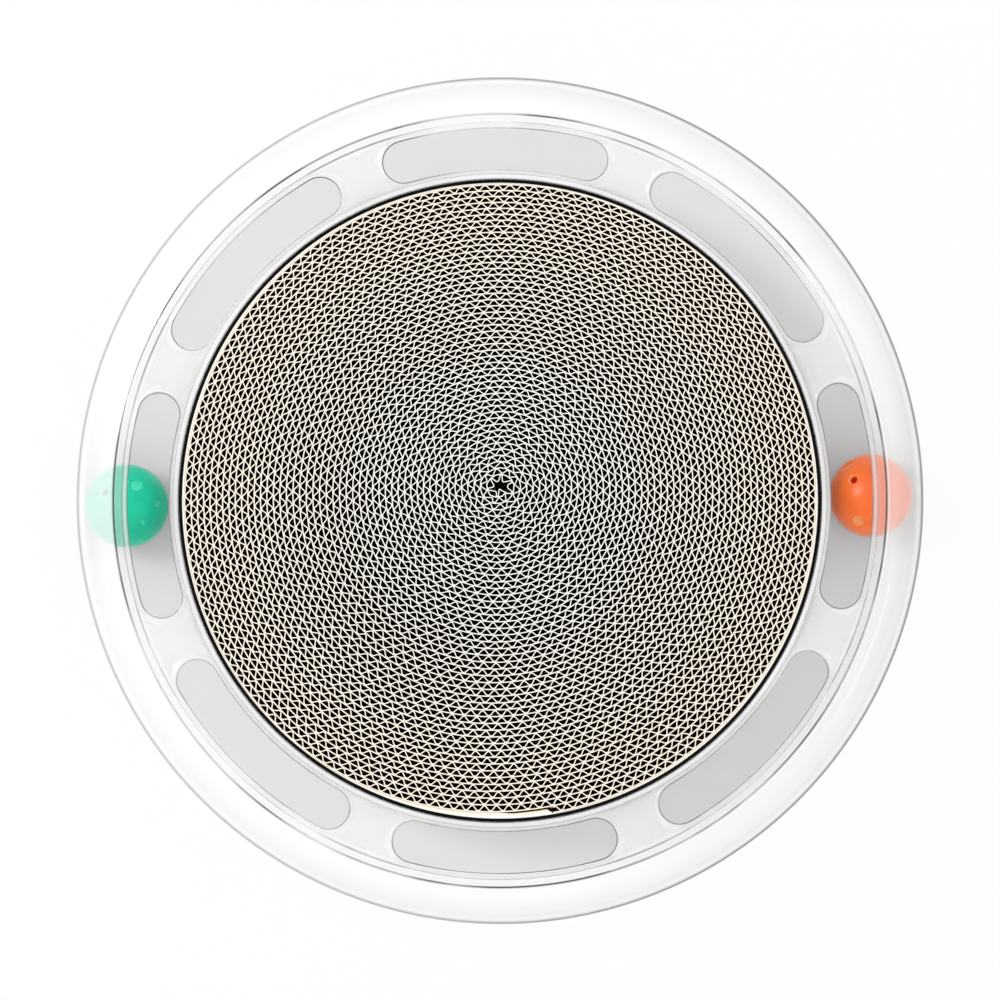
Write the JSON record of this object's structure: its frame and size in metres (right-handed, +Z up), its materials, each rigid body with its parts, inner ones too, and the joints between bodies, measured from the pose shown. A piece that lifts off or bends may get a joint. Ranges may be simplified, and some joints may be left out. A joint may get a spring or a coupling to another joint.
{
  "type": "cat ball track toy",
  "caption": "Round cat toy: a clear covered ring track with windows, in which hollow balls roll round a wound corrugated scratching coil.",
  "frame": {"origin": "on the floor, at the centre of the ring", "axes": "+Z up along the ring's axis, +X towards the orange ball at rest"},
  "size_m": [0.408, 0.408, 0.05],
  "materials": {
    "clear_base": "clear, glossy moulding",
    "clear_cover": "clear, glossy moulding",
    "corrugated_card": "raw cut card edges",
    "wrapper_paper": "uncoated liner paper",
    "black_band": "matt black band",
    "mint_plastic": "satin moulding",
    "orange_plastic": "satin moulding",
    "pad_rubber": "soft grey anti-slip pad"
  },
  "bodies": {
    "base": {"base_tray": "clear_base", "anti_slip_pad_1": "pad_rubber", "anti_slip_pad_2": "pad_rubber", "anti_slip_pad_3": "pad_rubber", "anti_slip_pad_4": "pad_rubber", "anti_slip_pad_5": "pad_rubber", "anti_slip_pad_6": "pad_rubber"},
    "cover": {"track_cover": "clear_cover"},
    "coil_refill": {"scratch_coil": "corrugated_card", "coil_wrapper": "wrapper_paper", "coil_edge_band": "black_band"},
    "mint_ball": {"mint_ball_upper_half": "mint_plastic", "mint_ball_lower_half": "mint_plastic"},
    "orange_ball": {"orange_ball_upper_half": "orange_plastic", "orange_ball_lower_half": "orange_plastic"}
  },
  "joints": [
    {"name": "mint_ball_roll", "type": "hinge", "parent": "base", "child": "mint_ball", "pos_m": [0, 0, 0.0247], "axis": [0, 0, 1], "range_deg": [-83, 83]},
    {"name": "orange_ball_roll", "type": "hinge", "parent": "base", "child": "orange_ball", "pos_m": [0, 0, 0.0247], "axis": [0, 0, 1], "range_deg": [-83, 83]},
    {"name": "refill_lift", "type": "slide", "parent": "base", "child": "coil_refill", "axis": [0, 0, 1], "range_m": [0, 0.06]},
    {"name": "cover_lift", "type": "slide", "parent": "base", "child": "cover", "axis": [0, 0, 1], "range_m": [0, 0.06]}
  ]
}
